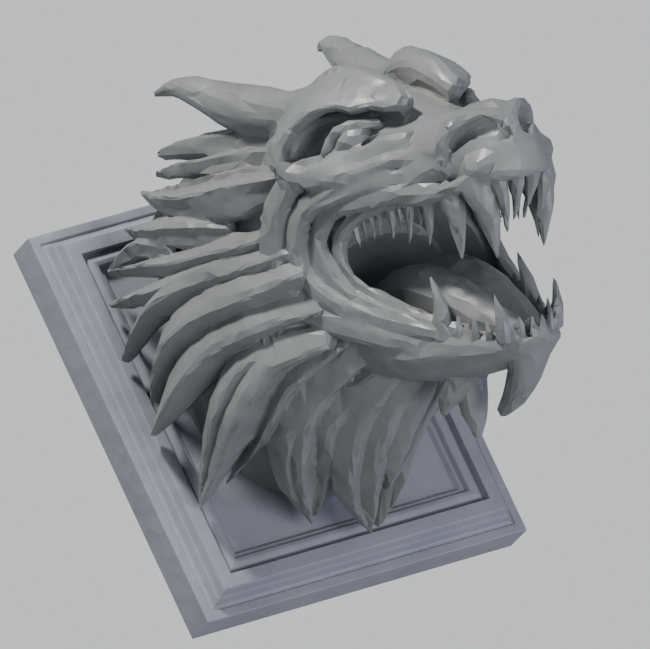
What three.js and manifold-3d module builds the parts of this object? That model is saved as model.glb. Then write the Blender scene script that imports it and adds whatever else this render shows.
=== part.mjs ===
// A beast's head corbel: a roaring horned head with a mane of pointed locks,
// carved in one piece and set on a moulded back plaque that fixes to a wall.
// Millimetres, +Z up, +X to the right seen from the front, the wall behind at y = 0.
// The head looks along -Y. "Forward" below is the distance from the wall, so y = -forward.

import * as THREE from 'three';
import Module from 'manifold-3d';

const wasm = await Module();
wasm.setup();

// Driving dimensions of the back plaque
const plaqueWidth = 269;
const plaqueHeight = 300;
const blockDepth = 27;
const blockEdgeRadius = 3;
const frontBandWidth = 8;
const frontStep = 1.5;
const slopeWidth = 8;
const rimRise = 13;
const rimWidth = 9.5;
const grooveDrop = 7;
const grooveWidth = 2.5;
const beadDrop = 2.5;
const beadWidth = 10;
const panelDrop = 10;

// What follows from them, as insets from the plaque's edge and depths from the wall
const rimOuterInset = frontBandWidth + slopeWidth;
const rimInnerInset = rimOuterInset + rimWidth;
const beadInset = rimInnerInset + grooveWidth;
const panelInset = beadInset + beadWidth + 2 * grooveWidth;
const rimDepth = blockDepth + rimRise;
const panelDepth = rimDepth - panelDrop;

// Driving dimensions of the head
const headReach = 425;
const seatGap = 0.3;
const neckSideMargin = 12;
const neckTopMargin = 18;
const neckFootLength = 34;

// The head is drawn at this reach from the wall and keeps its proportions at any other
const drawnReach = 425;
const seat = panelDepth + seatGap;
const headScale = (headReach - seat) / (drawnReach - seat);

// A point of the head: sideways from the middle plane, forward from the wall, and up
function at(side, forward, up) {
  const reach = seat + (forward - seat) * headScale;
  return new THREE.Vector3(side * headScale, -reach, up * headScale);
}

// Joins rings with the same number of points into one closed skin, with a fan over each end
function loft(rings) {
  const count = rings[0].length;
  const points = rings.flat();
  const triangles = [];
  for (let r = 0; r + 1 < rings.length; r += 1) {
    for (let i = 0; i < count; i += 1) {
      const a = r * count + i;
      const b = r * count + ((i + 1) % count);
      const c = a + count;
      const d = b + count;
      if (points[a].distanceToSquared(points[d]) < points[b].distanceToSquared(points[c])) {
        triangles.push(a, b, d, a, d, c);
      } else {
        triangles.push(a, b, c, b, d, c);
      }
    }
  }
  for (const [ring, turned] of [[0, true], [rings.length - 1, false]]) {
    const middle = new THREE.Vector3();
    for (const point of rings[ring]) {
      middle.addScaledVector(point, 1 / count);
    }
    const centre = points.push(middle) - 1;
    for (let i = 0; i < count; i += 1) {
      const a = ring * count + i;
      const b = ring * count + ((i + 1) % count);
      triangles.push(...(turned ? [b, a, centre] : [a, b, centre]));
    }
  }
  const geometry = new THREE.BufferGeometry().setFromPoints(points);
  geometry.setIndex(triangles);
  return geometry;
}

// Six times the volume that a closed skin holds, negative where its faces point in
function signedVolume(positions, triangles) {
  const [a, b, c] = [new THREE.Vector3(), new THREE.Vector3(), new THREE.Vector3()];
  let volume = 0;
  for (let t = 0; t < triangles.length; t += 3) {
    a.fromArray(positions, 3 * triangles[t]);
    b.fromArray(positions, 3 * triangles[t + 1]);
    c.fromArray(positions, 3 * triangles[t + 2]);
    volume += a.dot(b.cross(c));
  }
  return volume;
}

// A solid that can be joined and cut, with its faces turned outwards
function solid(geometry) {
  const vertProperties = new Float32Array(geometry.attributes.position.array);
  const triVerts = new Uint32Array(geometry.index.array);
  if (signedVolume(vertProperties, triVerts) < 0) {
    triVerts.reverse();
  }
  return new wasm.Manifold(new wasm.Mesh({ numProp: 3, vertProperties, triVerts }));
}

function join(solids) {
  return solids.reduce((whole, piece) => whole.add(piece));
}

// The solid and its mirror image across the middle plane
function bothSides(piece) {
  return piece.add(piece.mirror([1, 0, 0]));
}

// The ring of a cross-section in a plane of constant forward distance. A squareness of 2
// gives an ellipse, and more gives flatter sides.
function crossRing([forward, side, top, bottom, squareness = 2.3], count) {
  const power = 2 / squareness;
  const ring = [];
  for (let i = 0; i < count; i += 1) {
    const angle = (2 * Math.PI * (i + 0.5)) / count;
    const x = side * Math.sign(Math.cos(angle)) * Math.abs(Math.cos(angle)) ** power;
    const z = Math.sign(Math.sin(angle)) * Math.abs(Math.sin(angle)) ** power;
    ring.push(at(x, forward, (top + bottom) / 2 + (z * (top - bottom)) / 2));
  }
  return ring;
}

function crossLoft(stations, count) {
  return solid(loft(stations.map((station) => crossRing(station, count))));
}

// Sweeps a cross-section along a curve. outline(share) gives the section's points as
// [across, out] at that share of the length, and outward(point) the direction it faces.
function sweep(curve, steps, outline, outward) {
  const rings = [];
  for (let i = 0; i <= steps; i += 1) {
    const share = i / steps;
    const point = curve.getPoint(share);
    const along = curve.getTangent(share);
    const out = outward(point, share).clone();
    out.addScaledVector(along, -out.dot(along)).normalize();
    const across = new THREE.Vector3().crossVectors(along, out);
    rings.push(outline(share).map(([a, o]) => new THREE.Vector3()
      .copy(point)
      .addScaledVector(across, a * headScale)
      .addScaledVector(out, o * headScale)));
  }
  return solid(loft(rings));
}

// A value that runs through the listed ones at even steps of the length
function blend(values, share) {
  const place = share * (values.length - 1);
  const low = Math.min(Math.floor(place), values.length - 2);
  return values[low] + (values[low + 1] - values[low]) * (place - low);
}

// A round or flattened bar along a smooth curve through the points, with its half width and
// half thickness listed from end to end
function bar(points, halfWidths, halfThicknesses, sides, steps, outward) {
  const curve = new THREE.CatmullRomCurve3(points.map((p) => at(...p)));
  const outline = (share) => {
    const width = blend(halfWidths, share);
    const thickness = blend(halfThicknesses, share);
    const section = [];
    for (let i = 0; i < sides; i += 1) {
      const angle = (2 * Math.PI * i) / sides;
      section.push([width * Math.cos(angle), thickness * Math.sin(angle)]);
    }
    return section;
  };
  return sweep(curve, steps, outline, outward);
}

// A thick plate between two rows of points, with rounded edges that stand a little beyond them
function plate(near, far, thicknesses, sides) {
  const beyond = 1.1;
  const rings = near.map((place, i) => {
    const start = at(...place);
    const end = at(...far[i]);
    const middle = start.clone().add(end).multiplyScalar(0.5);
    const across = end.clone().sub(start).multiplyScalar(0.5);
    const before = at(...near[Math.max(i - 1, 0)]);
    const after = at(...near[Math.min(i + 1, near.length - 1)]);
    const out = after.sub(before).cross(across).normalize();
    const ring = [];
    for (let k = 0; k < sides; k += 1) {
      const angle = (2 * Math.PI * (k + 0.5)) / sides;
      ring.push(middle.clone()
        .addScaledVector(across, beyond * Math.cos(angle))
        .addScaledVector(out, thicknesses[i] * headScale * Math.sin(angle)));
    }
    return ring;
  });
  return solid(loft(rings));
}

const up = () => new THREE.Vector3(0, 0, 1);
const sideways = () => new THREE.Vector3(-1, 0, 0);
const forwards = () => new THREE.Vector3(0, -1, 0);

// Away from the line that runs through the middle of the neck
const neckAxisUp = 6;
const fromNeck = (point) => new THREE.Vector3(point.x, 0, point.z - neckAxisUp * headScale);

// A rectangle round the middle of the wall face, brought forward from the wall
function rectangle(halfWidth, halfHeight, forward) {
  return [[1, 1], [-1, 1], [-1, -1], [1, -1]].map(
    ([x, z]) => new THREE.Vector3(x * halfWidth, -forward, z * halfHeight),
  );
}

// The outer edge's quarter round, as [inset, depth]
function roundedEdge(steps) {
  return Array.from({ length: steps + 1 }, (_, i) => {
    const angle = (Math.PI / 2) * (i / steps);
    return [
      blockEdgeRadius * (1 - Math.cos(angle)),
      blockDepth - blockEdgeRadius * (1 - Math.sin(angle)),
    ];
  });
}

// The S-shaped slope from the front band up to the rim, as [inset, depth]
function slope(steps) {
  const foot = blockDepth + frontStep / 2;
  const flatness = 0.7;
  return Array.from({ length: steps + 1 }, (_, i) => {
    const share = i / steps;
    const rise = share - (flatness * Math.sin(2 * Math.PI * share)) / (2 * Math.PI);
    return [frontBandWidth + slopeWidth * share, foot + (rimDepth - foot) * rise];
  });
}

// The back plaque: mitred rectangles stacked from the wall to the rim and down to the panel
function makePlaque() {
  const groove = rimDepth - grooveDrop;
  const bead = rimDepth - beadDrop;
  const beadFlat = [0.35, 0.85];
  const profile = [
    [0, 0],
    ...roundedEdge(3),
    [frontBandWidth - frontStep, blockDepth],
    [frontBandWidth - frontStep / 2, blockDepth - frontStep],
    ...slope(5),
    [rimInnerInset, rimDepth],
    [rimInnerInset + grooveWidth / 2, groove],
    [beadInset, groove],
    ...beadFlat.map((share) => [beadInset + beadWidth * share, bead]),
    [beadInset + beadWidth, groove],
    [panelInset - grooveWidth, groove],
    [panelInset, panelDepth],
  ];
  return solid(loft(profile.map(
    ([inset, depth]) => rectangle(plaqueWidth / 2 - inset, plaqueHeight / 2 - inset, depth),
  )));
}

// The neck, the skull with the upper jaw, and the lower jaw, as cross-sections from the wall
// forward: [forward, half width, top, bottom, squareness]
const neckSections = [
  [40, 82, 94, -80],
  [100, 84, 106, -82],
  [160, 83, 116, -80],
  [205, 78, 122, -74],
  [236, 68, 116, -68],
];
const skullSections = [
  [190, 62, 122, 0],
  [235, 72, 124, 14],
  [268, 70, 116, 20],
  [298, 58, 97, 14],
  [322, 47, 78, 6],
  [346, 42, 56, -3],
  [370, 37, 43, -13],
  [392, 33, 36, -20],
  [407, 27, 30, -25],
  [418, 19, 21, -27],
  [425, 9, 8, -22],
];
const jawSections = [
  [205, 60, -8, -78],
  [240, 61, -13, -96],
  [262, 55, -38, -105],
  [285, 46, -60, -112],
  [310, 36, -80, -117],
  [331, 24, -97, -121],
  [341, 14, -106, -121],
  [348, 5, -111, -118],
];

// Sides of their skins, and of the hollows'
const neckSides = 16;
const skullSides = 20;
const jawSides = 16;
const hollowSides = 12;

// What is hollowed out of them: the throat, the palate and the floor of the mouth
const throatCut = [
  [182, 14, 8, -22],
  [200, 36, 22, -34],
  [230, 52, 27, -44],
  [262, 56, 26, -38],
];
const palateCut = [
  [215, 40, 36, -20],
  [262, 44, 34, -30],
  [310, 34, 18, -30],
  [350, 26, 0, -40],
  [385, 18, -11, -40],
  [406, 11, -19, -40],
];
const floorCut = [
  [215, 44, 10, -40],
  [250, 48, 0, -46],
  [285, 34, -34, -72],
  [312, 24, -62, -94],
  [334, 13, -88, -108],
];
const nostrilCut = [[25, 409, 13], [9, 14, 6]];
const socketCut = [[62, 300, 77], [21, 28, 11]];
const eyeBall = [[45, 306, 66], [11, 17, 9]];

// Teeth: [root, tip, half width at the root, half thickness at the root]
const upperTeeth = [
  [[26, 390, -8], [19, 365, -62], 13, 10],
  [[32, 366, -2], [32, 345, -49], 10, 8],
  [[35, 346, 22], [37, 324, -27], 7, 6],
  [[38, 329, 27], [41, 309, -17], 6.5, 5.5],
  [[42, 310, 34], [45, 300, -8], 6, 5],
  [[46, 291, 38], [48, 283, 0], 5.5, 5],
  [[50, 273, 42], [51, 267, 2], 5.5, 5],
  [[19, 407, -16], [13, 380, -50], 6.5, 5.5],
  [[7, 413, -17], [4, 378, -44], 5.5, 5],
];
const lowerTeeth = [
  [[37, 292, -82], [36, 308, -42], 7.5, 6.5],
  [[22, 334, -108], [25, 351, -80], 5.5, 5],
  [[12, 339, -110], [13, 350, -97], 4, 4],
  [[4, 342, -112], [4, 351, -100], 4, 4],
];

// Locks of the mane: [root, middle, tip, half width, ridge height]
const lockSteps = 4;
const maneLocks = [
  [[50, 232, 116], [62, 170, 136], [62, 108, 157], 15, 11],
  [[68, 238, 100], [78, 165, 122], [68, 98, 145], 15, 11],
  [[78, 236, 84], [96, 150, 118], [76, 88, 138], 17, 13],
  [[80, 228, 66], [104, 140, 112], [82, 52, 126], 18, 12],
  [[82, 222, 54], [116, 130, 94], [101, 46, 104], 17, 13],
  [[84, 218, 40], [120, 128, 72], [110, 46, 80], 18, 14],
  [[84, 212, 22], [124, 122, 50], [119, 46, 40], 20, 15],
  [[82, 206, 2], [124, 116, 14], [122, 46, -17], 22, 16],
  [[78, 210, -18], [114, 130, -20], [113, 46, -75], 20, 16],
  [[62, 232, -44], [86, 140, -62], [74, 48, -92], 17, 13],
  [[44, 246, -60], [54, 140, -82], [36, 46, -107], 16, 12],
  [[22, 246, -72], [18, 150, -86], [6, 60, -126], 15, 10],
];
const underLocks = [
  [[60, 150, 92], [72, 90, 118], [40, 48, 136], 22, 10],
  [[74, 150, -40], [96, 90, -54], [84, 44, -64], 18, 9],
  [[46, 150, -66], [58, 90, -84], [43, 44, -91], 18, 9],
];

// The overhanging brow runs between its crest and the edge of its hood over the eye
const browCrest = [[20, 349, 73], [22, 337, 87], [25, 320, 102], [27, 302, 115], [33, 276, 117],
  [43, 254, 111]];
const browEdge = [[32, 349, 64], [42, 337, 71], [53, 320, 80], [64, 302, 87], [69, 276, 90],
  [71, 256, 90]];
const browThickness = [5, 6, 7, 7, 7, 8];

// Folds of skin that ring the corner of the mouth, from the upper lip round to the lower one
const cheekFolds = [
  [[[37, 364, -2], [53, 309, 20], [62, 276, 31], [66, 251, 24], [66, 244, 6], [62, 246, -17],
    [54, 262, -43], [42, 286, -64]], 5.5, 5],
  [[[42, 340, 20], [63, 287, 38], [71, 256, 40], [75, 236, 26], [73, 228, 2], [66, 243, -28],
    [52, 268, -56], [38, 300, -82]], 6.5, 6],
  [[[64, 286, 64], [77, 250, 58], [81, 224, 38], [79, 211, 12], [71, 218, -18], [60, 245, -49],
    [44, 280, -79]], 8, 7.5],
];

// A pointed lock: a crested ridge with hollow flanks that swells and then tapers to its tip
function makeLock([root, middle, tip, halfWidth, ridge]) {
  const curve = new THREE.QuadraticBezierCurve3(at(...root), at(...middle), at(...tip));
  const fullest = 0.35;
  const rootSwell = 0.6;
  const tipSwell = 0.03;
  const taper = 1.7;
  const tipThinness = 0.3;
  const outline = (share) => {
    const swell = share < fullest
      ? rootSwell + (1 - rootSwell) * (share / fullest)
      : 1 - (1 - tipSwell) * ((share - fullest) / (1 - fullest)) ** taper;
    const w = halfWidth * swell;
    const crest = ridge * (0.25 + 0.75 * swell);
    const h = share < 1 ? crest : crest * tipThinness;
    return [[0, h], [-0.45 * w, 0.3 * h], [-w, -0.2 * h], [0, -h], [w, -0.2 * h],
      [0.45 * w, 0.3 * h]];
  };
  return sweep(curve, lockSteps, outline, fromNeck);
}

// A tooth is a cone with its tip bent inwards
function makeTooth([root, tip, halfWidth, halfThickness]) {
  const base = at(...root);
  const point = at(...tip);
  const bendPlace = 0.55;
  const bendDepth = 0.08;
  const middle = base.clone().lerp(point, bendPlace);
  middle.y -= base.distanceTo(point) * bendDepth;
  const curve = new THREE.QuadraticBezierCurve3(base, middle, point);
  const sides = 5;
  const toothSteps = 2;
  const bluntness = 0.06;
  const fullness = 1.3;
  const outline = (share) => {
    const size = Math.max(bluntness, 1 - share ** fullness);
    const section = [];
    for (let i = 0; i < sides; i += 1) {
      const angle = (2 * Math.PI * i) / sides;
      section.push([
        halfWidth * size * Math.cos(angle),
        halfThickness * size * Math.sin(angle),
      ]);
    }
    return section;
  };
  return sweep(curve, toothSteps, outline, sideways);
}

function makeHorn() {
  const centres = [[37, 272, 104], [43, 247, 115], [49, 220, 132], [55, 199, 150], [60, 185, 166],
    [64, 168, 180], [69, 147, 187]];
  return bar(centres, [13, 16, 17, 14, 11, 8, 1.5], [12, 16, 18, 15, 11, 7, 1.2], 7, 7, up);
}

// The hood of the brow, the mass that carries its crest, and the outer rim of the eye's socket
function makeBrow() {
  const hood = plate(browCrest, browEdge, browThickness, 6);
  const mass = bar([[22, 246, 104], [26, 298, 107], [24, 318, 95], [20, 345, 68]],
    [12, 14, 12, 7], [10, 13, 12, 7], 6, 4, up);
  const outerRim = bar([[70, 274, 94], [77, 266, 86], [78, 263, 75], [72, 269, 64], [62, 285, 56]],
    [7, 8, 8, 7, 5], [7, 8, 8, 7, 5], 5, 5, sideways);
  return join([hood, mass, outerRim]);
}

// An ellipsoid with flat ends, as rings of points from end to end along the forward direction
function ellipsoid([side, forward, height], [halfWidth, halfLength, halfHeight]) {
  const count = 8;
  const steps = 5;
  const flat = 0.15;
  const stations = [];
  for (let i = 0; i <= steps; i += 1) {
    const angle = (Math.PI * (i + flat)) / (steps + 2 * flat);
    const size = Math.sin(angle);
    const ring = [];
    for (let k = 0; k < count; k += 1) {
      const turn = (2 * Math.PI * k) / count;
      ring.push(at(
        side + halfWidth * size * Math.cos(turn),
        forward - halfLength * Math.cos(angle),
        height + halfHeight * size * Math.sin(turn),
      ));
    }
    stations.push(ring);
  }
  return solid(loft(stations));
}

function makeNose() {
  const wing = bar([[31, 380, 3], [34, 382, 13], [32, 388, 22], [21, 404, 25], [9, 418, 13]],
    [5, 7, 8, 8, 6], [5, 6, 7, 7, 6], 7, 6, up);
  const bridge = bar([[0, 318, 74], [0, 348, 48], [0, 376, 37], [0, 400, 31], [0, 416, 18]],
    [15, 14, 13, 14, 11], [6, 6, 6, 7, 7], 8, 5, up);
  return bothSides(wing).add(bridge);
}

function makeTongue() {
  const path = [[0, 195, -18], [0, 240, -22], [0, 270, -35], [0, 295, -57], [0, 315, -82],
    [0, 333, -102]];
  const widths = [24, 31, 32, 29, 24, 13];
  const heights = [10, 12, 13, 12, 9, 5];
  const curve = new THREE.CatmullRomCurve3(path.map((p) => at(...p)));
  const outline = (share) => {
    const w = blend(widths, share);
    const h = blend(heights, share);
    return [[0, 0.45 * h], [-0.3 * w, 0.95 * h], [-0.8 * w, 0.6 * h], [-w, -0.2 * h],
      [-0.7 * w, -h], [0.7 * w, -h], [w, -0.2 * h], [0.8 * w, 0.6 * h], [0.3 * w, 0.95 * h]];
  };
  return sweep(curve, 7, outline, up);
}

// The lock of beard under the chin, and the tufts that hang behind it from the throat
function makeBeard() {
  const chin = bar([[0, 338, -112], [0, 320, -121], [0, 292, -131], [0, 263, -135]],
    [14, 14, 10, 4], [7, 10, 9, 4], 8, 6, up);
  const middleTuft = bar([[0, 250, -92], [0, 238, -110], [0, 223, -134]], [13, 11, 3],
    [9, 8, 3], 6, 2, forwards);
  const sideTuft = bar([[20, 268, -92], [22, 246, -108], [24, 226, -116]], [12, 9, 3],
    [10, 8, 3], 6, 2, up);
  return join([chin, middleTuft, bothSides(sideTuft)]);
}

// The foot of the neck stands on the plaque's panel and stays clear of the bead round it
function makeNeckFoot() {
  const side = plaqueWidth / 2 - panelInset - neckSideMargin;
  const height = plaqueHeight / 2 - panelInset - neckTopMargin;
  const count = 24;
  const rings = [seat, seat + neckFootLength].map((forward) => {
    const ring = [];
    for (let i = 0; i < count; i += 1) {
      const angle = (2 * Math.PI * (i + 0.5)) / count;
      ring.push(new THREE.Vector3(side * Math.cos(angle), -forward, height * Math.sin(angle)));
    }
    return ring;
  });
  return solid(loft(rings));
}

// Everything behind the rim's front face, where only the foot of the neck may stand
function behindRim() {
  const wide = 2 * headReach;
  return solid(loft([
    rectangle(wide, wide, -wide),
    rectangle(wide, wide, rimDepth + seatGap),
  ]));
}

function makeCheekFold([path, width, thickness]) {
  const swell = [0.5, 1, 1, 0.5];
  const halfWidths = swell.map((share) => width * share);
  const halfThicknesses = swell.map((share) => thickness * share);
  return bar(path, halfWidths, halfThicknesses, 5, 6, sideways);
}

function makeHead() {
  const paired = [
    makeBrow(),
    makeHorn(),
    ellipsoid(...eyeBall),
    ...cheekFolds.map(makeCheekFold),
    ...maneLocks.map(makeLock),
    ...underLocks.map(makeLock),
  ];
  const skull = crossLoft(skullSections, skullSides)
    .subtract(bothSides(ellipsoid(...socketCut)));
  const flesh = join([
    crossLoft(neckSections, neckSides),
    skull,
    crossLoft(jawSections, jawSides),
    makeNose(),
    makeBeard(),
    bothSides(join(paired)),
  ]);
  const hollow = join([
    crossLoft(throatCut, hollowSides),
    crossLoft(palateCut, hollowSides),
    crossLoft(floorCut, hollowSides),
    bothSides(ellipsoid(...nostrilCut)),
  ]);
  const teeth = bothSides(join([...upperTeeth, ...lowerTeeth].map(makeTooth)));
  return flesh
    .subtract(hollow)
    .add(teeth)
    .add(makeTongue())
    .subtract(behindRim())
    .add(makeNeckFoot());
}

// A named mesh of a finished solid
function mesh(name, body, material) {
  const { vertProperties, triVerts } = body.getMesh();
  const geometry = new THREE.BufferGeometry();
  geometry.setAttribute('position', new THREE.BufferAttribute(vertProperties, 3));
  geometry.setIndex(new THREE.BufferAttribute(triVerts, 1));
  const result = new THREE.Mesh(geometry, material);
  result.name = name;
  return result;
}

const stone = new THREE.MeshStandardMaterial({ color: 0x84868a, roughness: 0.82, metalness: 0 });

const corbel = new THREE.Group();
corbel.add(mesh('back_plaque', makePlaque(), stone));
corbel.add(mesh('beast_head', makeHead(), stone.clone()));

export default corbel;
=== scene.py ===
import bpy
import numpy as np
from mathutils import Matrix, Vector


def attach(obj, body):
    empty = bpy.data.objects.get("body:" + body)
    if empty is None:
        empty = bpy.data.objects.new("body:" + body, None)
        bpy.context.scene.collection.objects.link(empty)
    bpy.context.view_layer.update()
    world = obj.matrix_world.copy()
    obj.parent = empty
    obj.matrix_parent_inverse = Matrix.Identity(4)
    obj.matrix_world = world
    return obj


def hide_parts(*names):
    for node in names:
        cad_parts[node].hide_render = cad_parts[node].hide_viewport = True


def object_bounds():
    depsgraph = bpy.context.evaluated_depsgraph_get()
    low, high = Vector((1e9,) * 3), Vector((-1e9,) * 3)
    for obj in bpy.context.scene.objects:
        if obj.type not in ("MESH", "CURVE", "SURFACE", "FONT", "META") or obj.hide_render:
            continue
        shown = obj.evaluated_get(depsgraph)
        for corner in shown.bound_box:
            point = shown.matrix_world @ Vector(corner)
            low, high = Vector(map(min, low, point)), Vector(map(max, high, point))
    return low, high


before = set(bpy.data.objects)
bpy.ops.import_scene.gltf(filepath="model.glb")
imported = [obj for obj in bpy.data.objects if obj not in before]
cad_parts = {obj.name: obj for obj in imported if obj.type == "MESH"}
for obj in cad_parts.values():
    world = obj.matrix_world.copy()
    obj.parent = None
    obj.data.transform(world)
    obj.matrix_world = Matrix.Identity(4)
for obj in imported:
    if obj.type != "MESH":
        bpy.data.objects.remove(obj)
cad_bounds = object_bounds()

MM = 0.001

# The field of distances that the head is carved from. Its coordinates are
# millimetres: side from the middle plane, forward from the wall, and up.
STEP = 1.4
FAR = 24.0
LOW = (STEP / 2, 29.0, -152.0)
HIGH = (136.0, 428.0, 192.0)
# How far round a shape its distances are worked out
MARGIN = 8.0
SIDE_MARGIN = 12.0
BAR_MARGIN = 5.0


def smooth_min(a, b, soft):
    """The lesser distance, with the corner between the two rounded over a width"""
    if soft <= 0:
        return np.minimum(a, b)
    h = np.maximum(soft - np.abs(a - b), 0) / soft
    return np.minimum(a, b) - h * h * soft * 0.25


def smooth_max(a, b, soft):
    return -smooth_min(-a, -b, soft)


def between(axis, low, high):
    """The part of an axis from low to high, which may be empty"""
    first, last = int(np.searchsorted(axis, low)), int(np.searchsorted(axis, high))
    return slice(first, max(last, first))


def is_empty(cuts):
    return min(c.stop - c.start for c in cuts) <= 0


def open_grid(axes):
    """Turns three axes so that together they span a grid"""
    x, p, z = axes
    return x.reshape(-1, 1, 1), p.reshape(1, -1, 1), z.reshape(1, 1, -1)


class Field:
    """Distances on a grid over one half of the head, negative inside"""

    def __init__(self):
        self.axes = [np.arange(l, h, STEP, dtype=np.float32) for l, h in zip(LOW, HIGH)]
        self.values = np.full([len(a) for a in self.axes], FAR, np.float32)

    def change(self, shape, blend):
        """Blends a shape's distances with those round it"""
        low, high, distance = shape
        cuts = tuple(between(*each) for each in zip(self.axes, low, high))
        if not is_empty(cuts):
            coords = open_grid([axis[cut] for axis, cut in zip(self.axes, cuts)])
            self.values[cuts] = blend(self.values[cuts], distance(*coords))

    def join(self, shape, soft=0.0):
        self.change(shape, lambda old, new: smooth_min(old, new, soft))

    def cut(self, shape, soft=0.0):
        self.change(shape, lambda old, new: smooth_max(old, -new, soft))


def smooth_line(points, count):
    """A smooth curve through the points, at even steps of their numbering"""
    p = np.asarray(points, float)
    ends = np.concatenate([2 * p[:1] - p[1:2], p, 2 * p[-1:] - p[-2:-1]])
    t = np.linspace(0, len(p) - 1, count)
    i = np.minimum(t.astype(int), len(p) - 2)
    f = (t - i).reshape(-1, 1)
    a, b, c, d = ends[i], ends[i + 1], ends[i + 2], ends[i + 3]
    square = (2 * a - 5 * b + 4 * c - d) * f ** 2
    cube = (3 * b - a - 3 * c + d) * f ** 3
    return 0.5 * (2 * b + (c - a) * f + square + cube)


# A loft's sections are ovals: squareness 2 would be an ellipse
SQUARENESS = 2.3
ROWS_A_SECTION = 12
LEAST_HALF = 0.5
STEEPEST = 3


def section_loft(rows):
    """Sections across the forward direction: forward, half width, top, bottom, squareness"""
    rows = [list(r) + [SQUARENESS] * (5 - len(r)) for r in rows]
    dense = smooth_line(rows, ROWS_A_SECTION * len(rows))
    dense = dense[np.argsort(dense[:, 0])]
    place, cols = dense[:, 0], dense[:, 1:]
    low = (0, place[0] - MARGIN, cols[:, 2].min() - SIDE_MARGIN)
    high = (cols[:, 0].max() + SIDE_MARGIN, place[-1] + MARGIN, cols[:, 1].max() + SIDE_MARGIN)

    def distance(x, p, z):
        q = p.ravel()
        w, top, bottom, n = [np.interp(q, place, c).reshape(p.shape) for c in cols.T]
        mid, half = (top + bottom) / 2, np.maximum((top - bottom) / 2, LEAST_HALF)
        w = np.maximum(w, LEAST_HALF)
        edges = np.stack([top.ravel(), bottom.ravel(), w.ravel()])
        slope = np.abs(np.gradient(edges, q, axis=1)).max(0)
        lean = (1 / np.sqrt(1 + np.minimum(slope, STEEPEST) ** 2)).reshape(p.shape)
        r = (np.abs(x / w) ** n + np.abs((z - mid) / half) ** n) ** (1 / n)
        f = (r - 1) * np.minimum(w, half) * lean
        return np.maximum(f, np.maximum(place[0] - p, p - place[-1])).astype(np.float32)

    return low, high, distance


def spread(values, count):
    return np.interp(np.linspace(0, 1, count), np.linspace(0, 1, len(values)), values)


def directions(line, out):
    """Across and above along a line, where out says which way its top faces"""
    tangent = np.gradient(line, axis=0)
    tangent /= np.linalg.norm(tangent, axis=1, keepdims=True)
    top = np.array([out(q) for q in line], float)
    top -= (top * tangent).sum(1, keepdims=True) * tangent
    top /= np.linalg.norm(top, axis=1, keepdims=True)
    return np.cross(tangent, top), top


def turning(away, first, last, share):
    """How far an offset goes in a direction that turns from the first to the last"""
    return sum(e * ((1 - share) * u + share * v) for e, u, v in zip(away, first, last))


LEAST_STEPS = 6
# A section may reach this many times its size
OVERREACH = 1.2
# Past the ends of a bar its inside is kept for this many millimetres
END_DEPTH = 2
ON_SECTION = 0.01


def stroke(points, widths, heights, out, section, spacing=5.0):
    """A section carried along a smooth curve. out gives the direction that its top faces, and
    section(across, above, half width, height) its distance."""
    points = np.asarray(points, float)
    length = np.linalg.norm(np.diff(points, axis=0), axis=1).sum()
    count = max(LEAST_STEPS, int(length / spacing))
    line = smooth_line(points, count)
    w, h = spread(widths, count), spread(heights, count)
    across, top = directions(line, out)
    pad = max(w.max(), h.max()) * OVERREACH + BAR_MARGIN

    def distance(x, p, z):
        best = np.full(np.broadcast_shapes(x.shape, p.shape, z.shape), FAR, np.float32)
        axes = (x.ravel(), p.ravel(), z.ravel())
        for i in range(count - 1):
            a, b = line[i], line[i + 1]
            r = OVERREACH * max(w[i], w[i + 1], h[i], h[i + 1]) + BAR_MARGIN
            cuts = tuple(between(*each)
                         for each in zip(axes, np.minimum(a, b) - r, np.maximum(a, b) + r))
            if is_empty(cuts):
                continue
            offset = open_grid([axis[cut] - start for axis, cut, start in zip(axes, cuts, a)])
            ab = b - a
            t = np.clip(sum(o * e for o, e in zip(offset, ab)) / (ab @ ab), 0, 1)
            away = [o - t * e for o, e in zip(offset, ab)]
            side = turning(away, across[i], across[i + 1], t)
            above = turning(away, top[i], top[i + 1], t)
            left = sum(e * e for e in away) - side ** 2 - above ** 2
            rest = np.sqrt(np.maximum(left, 0))
            f = section(side, above, (1 - t) * w[i] + t * w[i + 1], (1 - t) * h[i] + t * h[i + 1])
            inner = np.minimum(f, 0) * (rest < END_DEPTH)
            beyond = np.sqrt(np.maximum(f, 0) ** 2 + rest ** 2) + inner
            best[cuts] = np.minimum(best[cuts], np.where(rest > ON_SECTION, beyond, f))
        return best

    return line.min(0) - pad, line.max(0) + pad, distance


SLAB_SQUARENESS = 3.2
# A crest's upper flank is this much wider than its half width, and its lower one narrower
UPPER_FLANK, LOWER_FLANK = 1.5, 0.55
HOLLOW = 0.35
# The round body that a crest stands on: its reach to both sides, how far it is sunk, its depth
UPPER_BELLY, LOWER_BELLY, BELLY_SUNK, BELLY_DEPTH = 1.4, 0.8, 0.3, 1.05
CREST_SOFT = 1.5
# The tongue's top: its height in the middle, and how far it swells before it falls at the edge
TONGUE_MIDDLE, TONGUE_SWELL = 0.55, 0.5
# A height over a sloping surface counts for this share of it as a distance
BELLY_SLOPE, TONGUE_SLOPE = 0.85, 0.8


def round_section(side, above, w, h):
    return (np.sqrt((side / w) ** 2 + (above / h) ** 2) - 1) * np.minimum(w, h)


def slab_section(side, above, w, h):
    n = SLAB_SQUARENESS
    return ((np.abs(side / w) ** n + np.abs(above / h) ** n) ** (1 / n) - 1) * np.minimum(w, h)


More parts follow.
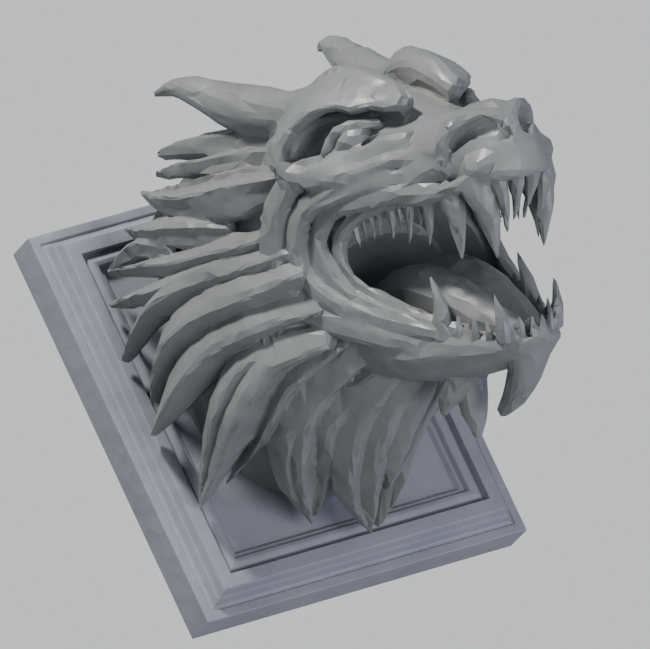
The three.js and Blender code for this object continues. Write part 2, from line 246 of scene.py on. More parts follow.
def crest_section(side, above, w, h):
    """A crisp ridge, broad and hollow on its upper side and undercut below"""
    upper = side > 0
    s = np.where(upper, side / (UPPER_FLANK * w), -side / (LOWER_FLANK * w))
    top = h * ((1 - s) * np.where(s < 1, 1 - HOLLOW * s, 1 - HOLLOW))
    steepness = h / (w * np.where(upper, UPPER_FLANK, LOWER_BELLY))
    flank = (above - top) / np.sqrt(1 + steepness ** 2)
    out = np.where(upper, UPPER_BELLY, LOWER_BELLY) * w
    sunk = (above + BELLY_SUNK * h) / (BELLY_DEPTH * h)
    belly = (np.sqrt((side / out) ** 2 + sunk ** 2) - 1) * h * BELLY_SLOPE
    return smooth_max(flank, belly, CREST_SOFT)


def tongue_section(side, above, w, h):
    """Thick and hollow along the middle, swelling towards its edges"""
    s = np.clip(np.abs(side) / w, 0, 1.2)
    swell = TONGUE_SWELL * np.sin(np.pi * np.clip(s, 0, 1))
    top = h * (TONGUE_MIDDLE + swell - TONGUE_MIDDLE * s ** 3)
    return np.maximum((above - top) * TONGUE_SLOPE, np.maximum(-h - above, np.abs(side) - w))


def ellipsoid(centre, radii):
    c, r = np.asarray(centre, float), np.asarray(radii, float)

    def distance(x, p, z):
        q = ((x - c[0]) / r[0]) ** 2 + ((p - c[1]) / r[1]) ** 2 + ((z - c[2]) / r[2]) ** 2
        return (np.sqrt(q) - 1) * r.min()

    return c - r - MARGIN, c + r + MARGIN, distance


# The corners of a cell of the grid
CORNERS = [(i, j, k) for i in (0, 1) for j in (0, 1) for k in (0, 1)]


def crossings(values, cells):
    """The middle of the places where the values cross zero on the edges of each cell"""
    summed, hits = np.zeros((len(cells), 3)), np.zeros(len(cells))
    for corner in CORNERS:
        for axis in range(3):
            if corner[axis]:
                continue
            other = list(corner)
            other[axis] = 1
            va = values[tuple((cells + corner).T)]
            vb = values[tuple((cells + other).T)]
            cross = (va < 0) != (vb < 0)
            t = np.where(cross, va / np.where(cross, va - vb, 1), 0)
            point = np.tile(np.array(corner, float), (len(cells), 1))
            point[:, axis] += t
            summed += point * cross[:, None]
            hits += cross
    return cells + summed / hits[:, None]


def faces_along(axis, inside, index):
    """A four-sided face round every grid edge along the axis that the surface cuts"""
    b, c = [n for n in range(3) if n != axis]
    take = [slice(None)] * 3
    take[axis] = slice(0, -1)
    first = inside[tuple(take)]
    take[axis] = slice(1, None)
    edge = np.argwhere(first != inside[tuple(take)])
    clear = (edge[:, b] > 0) & (edge[:, c] > 0)
    clear &= (edge[:, b] < inside.shape[b] - 1) & (edge[:, c] < inside.shape[c] - 1)
    edge = edge[clear]
    turn = first[tuple(edge.T)] != (axis == 1)
    quad = []
    for db, dc in ((-1, -1), (0, -1), (0, 0), (-1, 0)):
        cell = edge.copy()
        cell[:, b] += db
        cell[:, c] += dc
        quad.append(index[tuple(cell.T)])
    quad = np.stack(quad, 1)
    quad[turn] = quad[turn][:, ::-1]
    return quad


def surface_net(values, axes):
    """Vertices and four-sided faces of the surface where the values cross zero"""
    inside = values < 0
    nx, ny, nz = values.shape
    total = np.zeros((nx - 1, ny - 1, nz - 1), np.uint8)
    for i, j, k in CORNERS:
        total += inside[i:nx - 1 + i, j:ny - 1 + j, k:nz - 1 + k]
    cells = np.argwhere((total > 0) & (total < len(CORNERS)))
    index = np.full(total.shape, -1, np.int32)
    index[tuple(cells.T)] = np.arange(len(cells))
    start = np.array([a[0] for a in axes])
    step = np.array([a[1] - a[0] for a in axes])
    vertices = start + crossings(values, cells) * step
    return vertices, np.concatenate([faces_along(axis, inside, index) for axis in range(3)])


# Forms of the carving. Rows of a loft: forward, half width, top, bottom.
NECK = [[30, 82, 92, -82], [56, 84, 98, -82], [84, 93, 106, -83], [120, 97, 112, -83],
        [160, 90, 114, -79], [205, 83, 116, -72], [245, 69, 112, -66]]
SKULL = [[190, 62, 120, 0], [235, 72, 123, 14], [268, 70, 116, 20], [298, 58, 98, 14],
         [322, 47, 79, 6], [346, 42, 56, -3], [370, 37, 43, -13], [392, 33, 36, -20],
         [407, 27, 30, -25], [418, 19, 21, -27], [425, 8, 6, -22]]
JAW = [[205, 60, -8, -78], [240, 61, -13, -96], [262, 55, -38, -105], [285, 46, -60, -113],
       [310, 36, -80, -118], [331, 24, -97, -122], [341, 14, -106, -121], [348, 5, -111, -118]]
# The hollow of the mouth, and the ground that the tongue lies on
THROAT = [[176, 10, 6, -20], [190, 34, 18, -30], [215, 48, 27, -42], [240, 55, 30, -46],
          [262, 57, 27, -42]]
PALATE = [[215, 40, 36, -20], [262, 45, 32, -30], [310, 37, 17, -30], [350, 30, -1, -40],
          [385, 24, -14, -40], [404, 18, -21, -42], [418, 10, -27, -46]]
FLOOR = [[215, 44, 10, -40], [250, 49, -2, -58], [285, 35, -36, -84], [312, 26, -66, -100],
         [334, 16, -92, -112], [344, 9, -100, -116]]
TONGUE_GROUND = [[205, 50, -34, -70], [240, 50, -36, -78], [270, 38, -60, -98],
                 [300, 28, -84, -112], [328, 18, -104, -118]]

# Locks of the mane: path from root to tip, half width, height, bluntness
LOCKS = [
    ([(30, 196, 120), (36, 170, 134), (42, 140, 147), (44, 112, 158)], 8, 8, 2),
    ([(50, 236, 102), (56, 202, 118), (60, 170, 134), (62, 138, 147), (63, 108, 157)], 11, 11, 1.7),
    ([(60, 238, 92), (66, 205, 106), (71, 172, 119), (72, 138, 133), (67, 100, 146)], 9, 9, 1.7),
    ([(67, 240, 80), (76, 208, 94), (83, 174, 107), (84, 140, 119), (79, 108, 132)], 7, 8, 1.6),
    ([(70, 248, 68), (80, 218, 78), (90, 190, 88), (95, 160, 101), (91, 124, 120), (75, 90, 138)],
     19, 17, 1.25),
    ([(88, 186, 66), (96, 160, 81), (98, 130, 95), (93, 95, 109), (80, 57, 127)], 14, 11, 2),
    ([(76, 230, 38), (90, 196, 46), (98, 164, 57), (104, 132, 68), (104, 96, 84), (101, 46, 104)],
     12, 12, 2),
    ([(98, 128, 80), (95, 98, 98), (94, 71, 107), (101, 46, 104)], 9, 8, 2),
    ([(84, 208, 34), (97, 172, 43), (104, 138, 52), (109, 104, 62), (110, 46, 81)], 15, 13, 2),
    ([(80, 228, 24), (90, 198, 31), (100, 162, 41), (107, 126, 50), (113, 90, 53), (119, 46, 40)],
     14, 13, 3),
    ([(78, 232, 6), (91, 196, 13), (102, 162, 20), (110, 130, 24), (117, 96, 20), (120, 60, 2)],
     19, 17, 3),
    ([(72, 226, -18), (87, 194, -9), (98, 168, -4), (107, 140, -1), (116, 110, -5), (122, 78, -12),
      (123, 46, -17)], 17, 17, 3),
    ([(72, 218, -40), (87, 182, -32), (97, 156, -38), (105, 126, -50), (110, 92, -62),
      (113, 46, -76)], 17, 18, 2.6),
    ([(82, 196, -22), (98, 166, -21), (107, 138, -28), (112, 110, -40), (114, 80, -57),
      (113, 46, -74)], 10, 12, 2.6),
    ([(62, 222, -44), (80, 180, -46), (86, 150, -54), (89, 118, -62), (86, 50, -64)], 9, 15, 3),
    ([(62, 206, -58), (74, 168, -62), (78, 132, -72), (66, 92, -88), (37, 47, -106)], 15, 12, 2.4),
    ([(48, 238, -56), (68, 184, -62), (73, 150, -72), (66, 112, -88), (52, 79, -99),
      (36, 46, -107)], 14, 13, 2.6),
    ([(38, 252, -56), (54, 220, -56), (66, 194, -57), (74, 160, -63)], 10, 8, 2),
    ([(46, 212, -72), (56, 180, -74), (59, 154, -80), (51, 124, -89), (42, 90, -97),
      (34, 52, -105)], 13, 11, 2.6),
    ([(32, 244, -72), (41, 206, -78), (46, 176, -85), (43, 142, -98), (32, 102, -111),
      (4, 58, -127)], 15, 13, 3),
    ([(18, 244, -77), (26, 206, -84), (30, 172, -93), (26, 136, -104), (14, 96, -117),
      (3, 58, -128)], 14, 13, 3),
    ([(6, 236, -78), (9, 200, -88), (9, 168, -96), (5, 130, -106), (0, 92, -113)], 13, 10, 2.4),
    ([(12, 210, 116), (16, 178, 124), (18, 144, 130), (14, 104, 134), (8, 62, 132)], 11, 11, 2),
    ([(0, 186, 116), (-1, 150, 121), (0, 110, 124), (1, 58, 118)], 8, 9, 2),
    ([(30, 190, 118), (38, 156, 124), (44, 122, 130), (42, 84, 132), (30, 48, 126)], 12, 12, 2),
    ([(52, 180, 106), (62, 146, 112), (68, 112, 116), (66, 78, 118), (56, 46, 114)], 12, 12, 2),
]
LOCK_STEPS = 24
# Share of a lock's full size at its root, how fast it swells, and what is left at the tip
LOCK_ROOT, LOCK_GROWTH, LOCK_TIP = 0.3, 2.6, 0.08

# Folds of skin round the corner of the mouth: path, half widths, heights
FOLDS = [
    ([(36, 362, -2), (46, 334, 12), (54, 309, 20), (62, 276, 31), (66, 251, 24), (66, 244, 6),
      (62, 246, -17), (54, 262, -43), (42, 286, -66), (30, 312, -90)],
     [3, 4.5, 5.5, 5.5, 5.5, 5.5, 5, 5, 4, 3], [3, 4.5, 5, 5, 5, 5, 5, 4.5, 4, 3]),
    ([(40, 344, 19), (52, 322, 28), (63, 287, 40), (71, 256, 42), (75, 236, 28), (73, 228, 4),
      (66, 241, -26), (53, 266, -54), (40, 296, -80)],
     [3, 6, 7, 7, 7, 7, 6.5, 6, 3], [3, 5, 6, 7, 7, 7, 6, 5, 3]),
    ([(64, 288, 62), (72, 266, 64), (79, 240, 54), (82, 220, 36), (80, 209, 12), (72, 216, -16),
      (61, 243, -47), (46, 276, -78)], [5, 8, 9, 9, 8, 8, 8, 4], [4, 7, 8, 8, 8, 8, 7, 4]),
    ([(31, 352, -3), (42, 318, 11), (52, 284, 20), (57, 262, 16), (58, 253, 3), (55, 254, -14),
      (48, 268, -40), (38, 290, -66), (28, 312, -86)],
     [2.5, 3.5, 4, 4.5, 4.5, 4, 3.5, 3, 2], [3, 4, 4.5, 5, 5, 4.5, 4, 3, 2]),
]
FOLD_WIDENING = 1.15

# Teeth: root, tip, half width, half thickness
TEETH = [
    ((26, 390, -8), (19, 365, -62), 13, 10.5), ((32, 366, -2), (32, 345, -49), 10.5, 8),
    ((35, 346, 12), (37, 324, -27), 5.5, 5.5), ((38, 329, 17), (41, 309, -17), 5, 5),
    ((42, 310, 24), (45, 300, -8), 4.5, 4.5), ((46, 291, 30), (48, 283, 0), 4.5, 4.5),
    ((36, 338, 12), (39, 324, -16), 3, 3), ((40, 319, 18), (43, 308, -8), 3, 3),
    ((44, 300, 26), (47, 291, -1), 3, 3), ((48, 282, 31), (50, 275, 2), 3, 3),
    ((50, 273, 32), (51, 267, 2), 4.5, 4.5), ((19, 406, -18), (13, 380, -50), 6.5, 5.5),
    ((7, 413, -19), (4, 378, -44), 5.5, 5),
    ((37, 292, -82), (36, 308, -42), 7.5, 6.5), ((22, 334, -108), (25, 351, -80), 5.5, 5),
    ((12, 340, -110), (13, 350, -98), 3.5, 3), ((4, 343, -112), (4, 351, -101), 3, 3),
    ((34, 306, -88), (34, 314, -76), 3, 3), ((30, 316, -95), (31, 325, -84), 3, 3),
    ((26, 325, -101), (28, 334, -90), 3, 3), ((44, 276, -66), (42, 288, -56), 3, 3),
    ((48, 262, -50), (46, 272, -42), 2.5, 2.5), ((17, 337, -110), (19, 346, -98), 3, 2.5),
]
# Sizes of a tooth along it as shares of its full size, and the half width of its tip
TOOTH_SIZES = np.array([1, 0.93, 0.66])
TOOTH_TIP = 0.7
TOOTH_BEND = 0.09


# The middle of the neck is a little above that of the plaque
NECK_MIDDLE = 6


# Ways that the top of a bar can face
def up(q):
    return (0, 0, 1)


def sideways(q):
    return (1, 0.05, 0.05)


def forward(q):
    return (0, 1, 0)


def hood_out(q):
    return (0.6, 0.28, 0.75)


def from_neck(q):
    """Away from the middle line of the neck, also for a point that lies right above it"""
    return (q[0] + 0.001, 0, q[2] - NECK_MIDDLE)


def lock(path, width, height, blunt):
    t = np.linspace(0, 1, LOCK_STEPS)
    swell = np.minimum(1, LOCK_ROOT + LOCK_GROWTH * t) * (1 - t ** blunt) + LOCK_TIP
    return stroke(path, width * swell, height * np.sqrt(swell), from_neck, crest_section)


def tooth(root, tip, width, thickness):
    root, tip = np.array(root, float), np.array(tip, float)
    middle = root * 0.45 + tip * 0.55
    middle[1] += np.linalg.norm(tip - root) * TOOTH_BEND
    path = [root, (root + middle) / 2 + (0, 1, 0), middle, tip]
    return stroke(path, [*(width * TOOTH_SIZES), TOOTH_TIP], [*(thickness * TOOTH_SIZES), TOOTH_TIP],
                  sideways, round_section, spacing=4)


# Locks this far below the middle are tucked up, fully so after as much more, by at most LIFT_MOST
LIFT_BELOW, LIFT_OVER, LIFT_MOST = 45, 25, 30
# Close to the wall the lift is at most this share of the lock's distance from the middle, and
# further out it is more
LIFT_NEAR, LIFT_MORE, LIFT_AHEAD, LIFT_AHEAD_OVER = 0.5, 0.65, 50, 80


def share_of(value, start, length):
    """How far a value has come along a length, between 0 and 1"""
    return min(max((value - start) / length, 0), 1)


def tuck_up(point):
    """The far side's lower locks are tucked up, clear of the plaque's panel"""
    side, ahead_by, height = point
    lower = share_of(-height, LIFT_BELOW, LIFT_OVER)
    slant = LIFT_NEAR + LIFT_MORE * share_of(ahead_by, LIFT_AHEAD, LIFT_AHEAD_OVER)
    return side, ahead_by, height + lower * min(LIFT_MOST, side * slant)


def join_brow(head):
    """The brow, its overhanging lip, its upper edge and the outer rim of the socket"""
    head.join(stroke([(22, 246, 104), (25, 270, 108), (26, 298, 107), (24, 318, 96),
                      (22, 336, 80), (20, 347, 66)], [13, 15, 14, 12, 9, 6],
                     [10, 13, 13, 12, 10, 7], up, round_section), soft=8)
    head.join(stroke([(58, 254, 101), (52, 274, 104), (45, 302, 102), (39, 320, 91),
                      (32, 337, 79), (25, 348, 69)], [17, 22, 24, 18.5, 12, 5],
                     [6, 7, 7, 7, 6, 4], hood_out, slab_section), soft=3)
    head.join(stroke([(44, 256, 115), (34, 276, 118), (28, 300, 117), (26, 318, 106),
                      (23, 335, 91), (21, 346, 76)], [3, 5, 5.5, 5.5, 5, 3],
                     [3, 4, 4.5, 4.5, 4, 3], up, slab_section), soft=2.5)
    head.join(stroke([(70, 274, 94), (77, 266, 86), (78, 263, 75), (72, 269, 64), (62, 284, 57),
                      (54, 298, 53)], [6, 7, 7.5, 7, 6, 3], [6, 7, 7.5, 7, 5, 3], sideways,
                     round_section), soft=4)


def join_nose(head):
    """The bridge, the pad with its two wings, and the rim round the nostril"""
    head.join(stroke([(0, 318, 74), (0, 348, 48), (0, 374, 37), (0, 392, 34), (0, 406, 29),
                      (0, 416, 20)], [15, 14, 13, 13, 12, 9], [6, 6, 6, 6.5, 7, 6], up,
                     round_section), soft=6)
    head.join(ellipsoid((0, 406, 12), (19, 14, 15)), soft=6)
    head.join(ellipsoid((23, 401, -7), (11, 13, 9)), soft=6)
    head.join(stroke([(32, 378, 2), (35, 382, 13), (33, 389, 22), (27, 400, 27), (16, 409, 25),
                      (6, 417, 19), (0, 419, 14)], [4, 6, 7, 7, 7, 6, 5], [4, 5, 6, 6, 6, 6, 5], up,
                     round_section), soft=2.5)


def join_lip_and_cheek(head):
    """The upper lip, and two lines of muscle from the nose back over the cheek"""
    head.join(stroke([(0, 422, -22), (13, 416, -21), (23, 402, -15), (30, 390, -12),
                      (35, 374, -8), (38, 358, -4), (41, 342, 1), (46, 326, 11)],
                     [5, 5, 5.5, 5.5, 5, 5, 4.5, 3.5], [4, 4.5, 5, 5.5, 5, 5, 4.5, 3.5], sideways,
                     round_section), soft=3)
    head.join(stroke([(36, 354, 28), (45, 337, 34), (54, 318, 38), (62, 298, 45), (71, 275, 55)],
                     [3, 5, 6, 7, 5], [3, 5, 6, 7, 5], sideways, round_section), soft=5)
    head.join(stroke([(33, 352, 42), (44, 330, 49), (56, 304, 53), (68, 280, 58), (76, 256, 64)],
                     [4, 6, 6, 7, 6], [4, 5, 5, 6, 6], sideways, round_section), soft=7)


def carve_eye(head):
    """The socket with the hollows round it, the swell of the cheek, the eyeball and its upper lid"""
    head.cut(ellipsoid((61, 296, 79), (21, 27, 12)), soft=4)
    head.cut(ellipsoid((49, 322, 71), (16, 18, 6)), soft=4)
    head.cut(ellipsoid((64, 283, 73), (14, 15, 10)), soft=5)
    head.join(ellipsoid((35, 338, 14), (10, 24, 12)), soft=5)
    head.cut(stroke([(42, 330, 56), (50, 314, 51), (57, 298, 50)],
                    [3, 4, 3], [3, 4, 3], sideways, round_section), soft=4)
    head.join(ellipsoid((45, 307, 64), (13, 17, 10)), soft=1.5)
    head.join(stroke([(36, 331, 64), (46, 322, 71), (55, 307, 74), (60, 290, 67)],
                     [3, 4, 4.2, 3], [3, 4, 4.2, 3], sideways, round_section), soft=2)


def join_horn(head):
    head.join(stroke([(37, 272, 106), (43, 247, 115), (49, 220, 132), (55, 199, 150),
                      (60, 185, 166), (64, 168, 180), (69, 147, 187)],
                     [14, 16, 17, 14, 11, 8, 2], [13, 16, 18, 15, 11, 7, 2], up,
                     round_section), soft=5)


def join_folds_and_locks(head, far_side):
    for path, widths, heights in FOLDS:
        wider = [FOLD_WIDENING * w for w in widths]
        head.join(stroke(path, wider, heights, sideways, slab_section), soft=2)
    for path, width, height, blunt in LOCKS:
        if far_side:
            path = [tuck_up(point) for point in path]
        head.join(lock(path, width, height, blunt), soft=1.5)


def join_beard(head, far_side):
    """The beard under the chin and the tufts under the throat, one of them on the near side only"""
    head.join(stroke([(0, 338, -112), (0, 322, -120), (0, 302, -128), (0, 281, -133),
                      (0, 263, -135)], [14, 14, 11, 8, 4], [7, 10, 10, 8, 4], up,
                     round_section), soft=5)
    if not far_side:
        head.join(stroke([(18, 270, -96), (21, 250, -108), (23, 232, -115)], [12, 10, 3],
                         [9, 8, 3], up, round_section), soft=4)
    head.join(stroke([(0, 250, -92), (0, 240, -108), (0, 231, -122), (0, 223, -134)],
                     [14, 12, 9, 3], [9, 9, 7, 3], forward, round_section), soft=4)


def cut_mouth_and_nostril(head):
    mouth = Field()
    mouth.join(section_loft(THROAT))
    mouth.join(section_loft(PALATE), soft=6)
    mouth.join(section_loft(FLOOR), soft=6)
    head.values = smooth_max(head.values, -mouth.values, soft=3)
    head.cut(stroke([(31, 391, 14), (25, 404, 17), (18, 415, 15), (11, 421, 9), (6, 420, 1)],
                    [4, 6, 7, 6.5, 4], [4, 6, 7.5, 7, 4], up, round_section), soft=1.5)


def join_teeth_and_tongue(head):
    for one in TEETH:
        head.join(tooth(*one), soft=1.2)
    head.join(section_loft(TONGUE_GROUND), soft=5)
    head.join(stroke([(0, 190, -18), (0, 238, -22), (0, 268, -34), (0, 294, -56), (0, 315, -82),
                      (0, 333, -102)], [24, 31, 33, 30, 25, 14], [10, 12, 13, 12, 9, 5], up,
                     tongue_section), soft=2)


# The plaque's rim stands 40 mm off the wall and its panel 30 mm, and the head keeps a hair away
RIM_FRONT, PANEL_FRONT = 40.4, 30.4
FOOT_HALF_WIDTH, FOOT_HALF_HEIGHT, FOOT_FRONT = 79.5, 89.0, 64


def stand_on_panel(head):
    """Behind the rim's front only the foot of the neck stands, on the panel"""
    x, p, z = open_grid(head.axes)
    head.values = np.maximum(head.values, RIM_FRONT - p)
    oval = np.sqrt((x / FOOT_HALF_WIDTH) ** 2 + (z / FOOT_HALF_HEIGHT) ** 2)
    foot = (oval - 1) * FOOT_HALF_WIDTH
    between_ends = np.maximum(PANEL_FRONT - p, p - FOOT_FRONT)
    head.values = np.minimum(head.values, np.maximum(foot, between_ends))


def carve_half(far_side):
    """One half of the head. The later forms cut into the earlier ones, so the order counts."""
    head = Field()
    head.join(section_loft(NECK))
    head.join(section_loft(SKULL), soft=8)
    head.join(section_loft(JAW), soft=8)
    join_brow(head)
    join_nose(head)
    join_lip_and_cheek(head)
    carve_eye(head)
    join_horn(head)
    join_folds_and_locks(head, far_side)
    join_beard(head, far_side)
    cut_mouth_and_nostril(head)
    join_teeth_and_tongue(head)
    stand_on_panel(head)
    return head


def add_object(name, mesh):
    piece = bpy.data.objects.new(name, mesh)
    bpy.context.scene.collection.objects.link(piece)
    return piece


def mesh_of(name, vertices, faces):
    """A mesh whose faces all have the same number of sides"""
    mesh = bpy.data.meshes.new(name)
    mesh.vertices.add(len(vertices))
    mesh.vertices.foreach_set("co", vertices.astype(np.float32).ravel())
    mesh.loops.add(faces.size)
    mesh.loops.foreach_set("vertex_index", faces.astype(np.int32).ravel())
    mesh.polygons.add(len(faces))
    starts = np.arange(0, faces.size, faces.shape[1], dtype=np.int32)
    mesh.polygons.foreach_set("loop_start", starts)
    mesh.update(calc_edges=True)
    mesh.validate()
    return mesh


def apply_modifiers(piece):
    graph = bpy.context.evaluated_depsgraph_get()
    mesh = bpy.data.meshes.new_from_object(piece.evaluated_get(graph))
    piece.modifiers.clear()
    old = piece.data
    piece.data = mesh
    bpy.data.meshes.remove(old)


# Facets of the carved head, and how unevenly they are cut
FLATS = 28000
UNEVENNESS = 0.42 * MM
CHANCE_SEED = 7
# Edges that turn by more than this, in radians, stay crisp
CRISP_ANGLE = 0.3


def roughen(mesh):
    """Moves each corner of the facets in or out by chance, inside the box of the solids"""
    count = len(mesh.vertices)
    place, normal = np.empty(3 * count, np.float32), np.empty(3 * count, np.float32)
    mesh.vertices.foreach_get("co", place)
    mesh.vertex_normals.foreach_get("vector", normal)
    chance = np.random.default_rng(CHANCE_SEED).normal(0, UNEVENNESS, (count, 1))
    moved = place.reshape(-1, 3) + normal.reshape(-1, 3) * chance
    low, high = np.array(cad_bounds)
    mesh.vertices.foreach_set("co", np.clip(moved, low, high).ravel())
    mesh.update()


def shade_crisp(mesh):
    mesh.polygons.foreach_set("use_smooth", [True] * len(mesh.polygons))
    mesh.set_sharp_from_angle(angle=CRISP_ANGLE)


def make_head():
    far, near = carve_half(True), carve_half(False)
    values = np.concatenate([near.values[::-1], far.values])
    side = far.axes[0]
    axes = [np.concatenate([-side[::-1], side]), far.axes[1], far.axes[2]]
    vertices, faces = surface_net(values, axes)
    vertices = np.stack([vertices[:, 0], -vertices[:, 1], vertices[:, 2]], 1) * MM
    piece = add_object("carved_head", mesh_of("carved_head", vertices, faces))
    # Few large facets, as a gouge leaves them, each divided so that only its edges look soft
    cuts = piece.modifiers.new("cuts", "DECIMATE")
    cuts.ratio = FLATS / (2 * len(faces))
    apply_modifiers(piece)
    roughen(piece.data)
    divide = piece.modifiers.new("divide", "SUBSURF")
    divide.subdivision_type = "SIMPLE"
    divide.levels = 1
    divide.render_levels = 1
    apply_modifiers(piece)
    shade_crisp(piece.data)
    return piece


# The plaque
PLAQUE_WIDTH, PLAQUE_HEIGHT, PANEL_DEPTH = 269.0, 300.0, 30.0
# Its moulding: inset from the outer edge, height over the wall, softness of the corner
MOULDING = [
    (0, 0, 0.1), (0, 27, 1.2), (6.5, 27, 0.4), (7.2, 25.6, 0.3), (8, 25.8, 0.3), (10, 26.6, 0.8),
    (12, 32, 0.7), (13.2, 33.2, 0.5), (15, 39, 0.6), (16, 40, 0.4), (25.5, 40, 0.6),
    (26.5, 33.4, 0.4), (28, 33, 0.4), (29, 36.6, 0.7), (32.6, 37.7, 1), (36, 36.8, 0.8),
    (37.4, 33, 0.4), (39.6, 33, 0.5), (42, PANEL_DEPTH, 0.4), (60, PANEL_DEPTH, 0.1)]
# A corner's rounding takes up at most this share of the sides next to it
CORNER_SHARE = 0.48
CORNER_STEPS = 5
EDGE_STEPS = 90
# How deep the plaque's slow unevenness goes, and how long its waves are
WAVE_DEPTH, WAVE_LENGTH = 0.28, 9


def soft_profile():
    """The moulding with each of its corners rounded"""
    points = np.array([m[:2] for m in MOULDING], float)
    line = [points[0]]
    for before, here, after, soft in zip(points, points[1:], points[2:], MOULDING[1:]):
        back, on = before - here, after - here
        reach = [min(soft[2], CORNER_SHARE * np.linalg.norm(v)) for v in (back, on)]
        start = here + back / np.linalg.norm(back) * reach[0]
        end = here + on / np.linalg.norm(on) * reach[1]
        for t in np.linspace(0, 1, CORNER_STEPS):
            line.append((1 - t) ** 2 * start + 2 * t * (1 - t) * here + t * t * end)
    line.append(points[-1])
    return np.array(line)


def wander(x, z, scale):
    """A slow unevenness, between about -1 and 1"""
    return (np.sin(x / scale + 1.3 * np.sin(z / (1.7 * scale)))
            + np.sin(z / (0.8 * scale) + 2.1 + np.sin(x / (1.3 * scale)))) / 2


def plaque_ring(inset, height):
    """Points round the plaque at one place of its moulding"""
    wide, tall = PLAQUE_WIDTH / 2 - inset, PLAQUE_HEIGHT / 2 - inset
    corners = np.array([(-wide, -tall), (wide, -tall), (wide, tall), (-wide, tall)])
    t = (np.linspace(-1, 1, EDGE_STEPS)[:-1, None] + 1) / 2
    ring = np.concatenate([a * (1 - t) + b * t for a, b in zip(corners, np.roll(corners, -1, 0))])
    x, z = ring.T
    uneven = WAVE_DEPTH * wander(x + 3 * inset, z - 2 * inset, WAVE_LENGTH)
    deep = np.full(len(ring), height) - (np.abs(uneven) if height > 1 else 0)
    return np.stack([x, -deep, z], 1)


def make_plaque():
    """Rings of the moulding, closed by a flat back on the wall and by the panel"""
    rings = [plaque_ring(inset, height) for inset, height in soft_profile()]
    count = len(rings[0])
    vertices = np.concatenate(rings + [[[0, 0, 0]], [[0, -PANEL_DEPTH, 0]]])
    wall, panel = len(vertices) - 2, len(vertices) - 1
    here = np.arange(count)
    after = (here + 1) % count
    quads = [np.stack([k * count + here, k * count + after, (k + 1) * count + after,
                       (k + 1) * count + here], 1) for k in range(len(rings) - 1)]
    last = (len(rings) - 1) * count
    faces = np.concatenate(quads).tolist()
    faces += [(int(b), int(a), wall) for a, b in zip(here, after)]
    faces += [(int(last + a), int(last + b), panel) for a, b in zip(here, after)]
    mesh = bpy.data.meshes.new("moulded_plaque")
    mesh.from_pydata((vertices * MM).tolist(), [], faces)
    mesh.update()
    shade_crisp(mesh)
    return add_object("moulded_plaque", mesh)


def node(tree, kind, **values):
    """A shader node with its sockets or settings filled in"""
    made = tree.nodes.new(kind)
    for key, value in values.items():
        if key in made.inputs:
            made.inputs[key].default_value = value
        else:
            setattr(made, key, value)
    return made


def grey(value, blue=0.0):
    return (value, value, value + blue, 1)


def stone(name, light, dark):
    """Cast stone: a cloudy tint, a fine grain and the broad marks of a chisel"""
    material = bpy.data.materials.new(name)
    material.use_nodes = True
    tree = material.node_tree
    link = tree.links.new
    shader = tree.nodes["Principled BSDF"]
    shader.inputs["Roughness"].default_value = 0.36
    shader.inputs["Specular IOR Level"].default_value = 0.4
    place = node(tree, "ShaderNodeTexCoord").outputs["Object"]
    cloud = node(tree, "ShaderNodeTexNoise", Scale=14.0, Detail=6.0, Roughness=0.6)
    grain = node(tree, "ShaderNodeTexNoise", Scale=900.0, Detail=3.0, Roughness=0.7)
    chisel = node(tree, "ShaderNodeTexVoronoi", feature="SMOOTH_F1", Scale=75.0, Smoothness=0.25)
    for texture in (cloud, grain, chisel):
        link(place, texture.inputs["Vector"])
    tint = node(tree, "ShaderNodeMix", data_type="RGBA")
    tint.inputs["A"].default_value = dark
    tint.inputs["B"].default_value = light
    contrast = node(tree, "ShaderNodeMapRange")
    contrast.inputs["From Min"].default_value = 0.3
    contrast.inputs["From Max"].default_value = 0.7
    link(cloud.outputs["Fac"], contrast.inputs["Value"])
    link(contrast.outputs["Result"], tint.inputs["Factor"])
    link(tint.outputs["Result"], shader.inputs["Base Color"])
    fine = node(tree, "ShaderNodeBump", Strength=0.25, Distance=0.4 * MM)
    link(grain.outputs["Fac"], fine.inputs["Height"])
    broad = node(tree, "ShaderNodeBump", Strength=0.35, Distance=1.5 * MM)
    link(chisel.outputs["Distance"], broad.inputs["Height"])
    link(fine.outputs["Normal"], broad.inputs["Normal"])
    link(broad.outputs["Normal"], shader.inputs["Normal"])
    return material


head_stone = stone("head_stone", grey(0.25), grey(0.18))
plaque_stone = stone("plaque_stone", grey(0.33, blue=0.04), grey(0.26, blue=0.04))

head = make_head()
head.data.materials.clear()
head.data.materials.append(head_stone)
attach(head, "root")
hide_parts("beast_head")

plaque = make_plaque()
plaque.data.materials.append(plaque_stone)
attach(plaque, "root")
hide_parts("back_plaque")

# The photograph's view: which way its right, its down and its depth run, and what its middle shows
RIGHT = Vector((0.81408708, -0.40908438, -0.41220407))
DOWN = Vector((-0.23067038, 0.42361927, -0.87597825))
AHEAD = Vector((0.53296661, 0.80820584, 0.25049933))
VIEW_MIDDLE = RIGHT * 0.0429 - DOWN * 0.0524
# A long lens far away, because the view is almost parallel
LENS = 1100.0
CAMERA_DISTANCE = LENS * 12.43 * MM
LIT_POINT = Vector((0, -0.2, 0))


def make_camera():
    data = bpy.data.cameras.new("camera")
    data.lens = LENS
    data.sensor_width = 36.0
    data.clip_start = 0.1
    data.clip_end = 100.0
    camera = add_object("camera", data)
    turn = Matrix((RIGHT, -DOWN, -AHEAD)).transposed().to_4x4()
    camera.matrix_world = Matrix.Translation(VIEW_MIDDLE - AHEAD * CAMERA_DISTANCE) @ turn
    bpy.context.scene.camera = camera


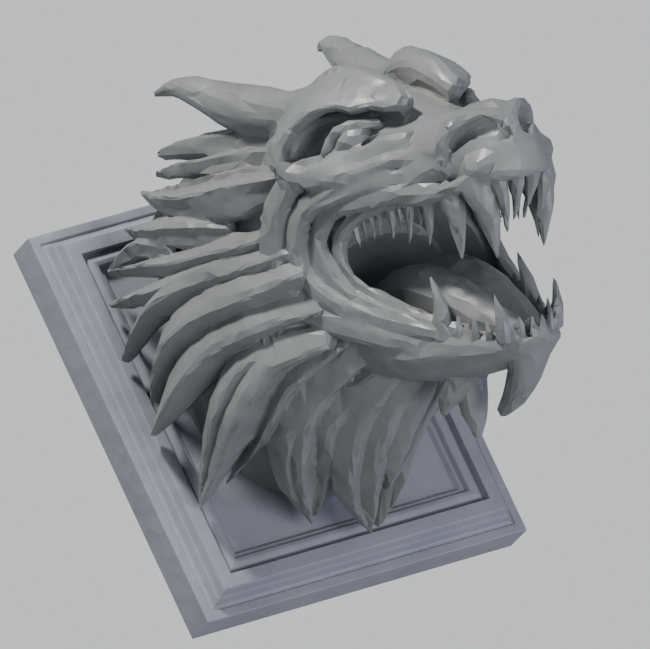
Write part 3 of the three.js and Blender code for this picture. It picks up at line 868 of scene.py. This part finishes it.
def area_light(name, to_right, to_up, nearer, size, power, colour):
    """A round lamp that shines at the head, from a place given as the photograph sees it"""
    data = bpy.data.lights.new(name, "AREA")
    data.shape = "DISK"
    data.size = size
    data.energy = power
    data.color = colour
    light = add_object(name, data)
    place = LIT_POINT + RIGHT * to_right - DOWN * to_up - AHEAD * nearer
    light.location = place
    light.rotation_euler = (LIT_POINT - place).to_track_quat("-Z", "Y").to_euler()


FLOOR_HALF, FLOOR_LEVEL = 14.0, -4.6


def make_floor():
    """A plain pale floor, far enough below to catch no hard shadow"""
    half, level = FLOOR_HALF, FLOOR_LEVEL
    mesh = bpy.data.meshes.new("floor")
    corners = [(-half, -half, level), (half, -half, level), (half, half, level),
               (-half, half, level)]
    mesh.from_pydata(corners, [], [(0, 1, 2, 3)])
    paint = bpy.data.materials.new("floor_paint")
    paint.use_nodes = True
    shader = paint.node_tree.nodes["Principled BSDF"]
    shader.inputs["Base Color"].default_value = grey(0.8)
    shader.inputs["Roughness"].default_value = 0.9
    mesh.materials.append(paint)
    return add_object("floor", mesh)


def make_world():
    """A soft bluish light from all round, which the camera itself sees as pale grey"""
    world = bpy.data.worlds.new("studio")
    world.use_nodes = True
    sky = world.node_tree
    lit = sky.nodes["Background"]
    lit.inputs["Color"].default_value = (0.82, 0.84, 0.9, 1)
    lit.inputs["Strength"].default_value = 0.32
    seen = node(sky, "ShaderNodeBackground", Color=grey(0.78, blue=0.01))
    ray = node(sky, "ShaderNodeLightPath")
    both = node(sky, "ShaderNodeMixShader")
    sky.links.new(ray.outputs["Is Camera Ray"], both.inputs["Fac"])
    sky.links.new(lit.outputs["Background"], both.inputs[1])
    sky.links.new(seen.outputs["Background"], both.inputs[2])
    sky.links.new(both.outputs["Shader"], sky.nodes["World Output"].inputs["Surface"])
    bpy.context.scene.world = world


make_camera()
area_light("key", -1.1, 1.8, 0.7, 0.35, 66, (1, 1, 0.98))
area_light("fill", 1.9, -0.5, 0.4, 0.5, 9, (0.55, 0.64, 1))
area_light("front", 1.1, -0.3, 2.0, 1.2, 29, (0.96, 0.97, 1))
floor = make_floor()
make_world()

bpy.context.view_layer.update()
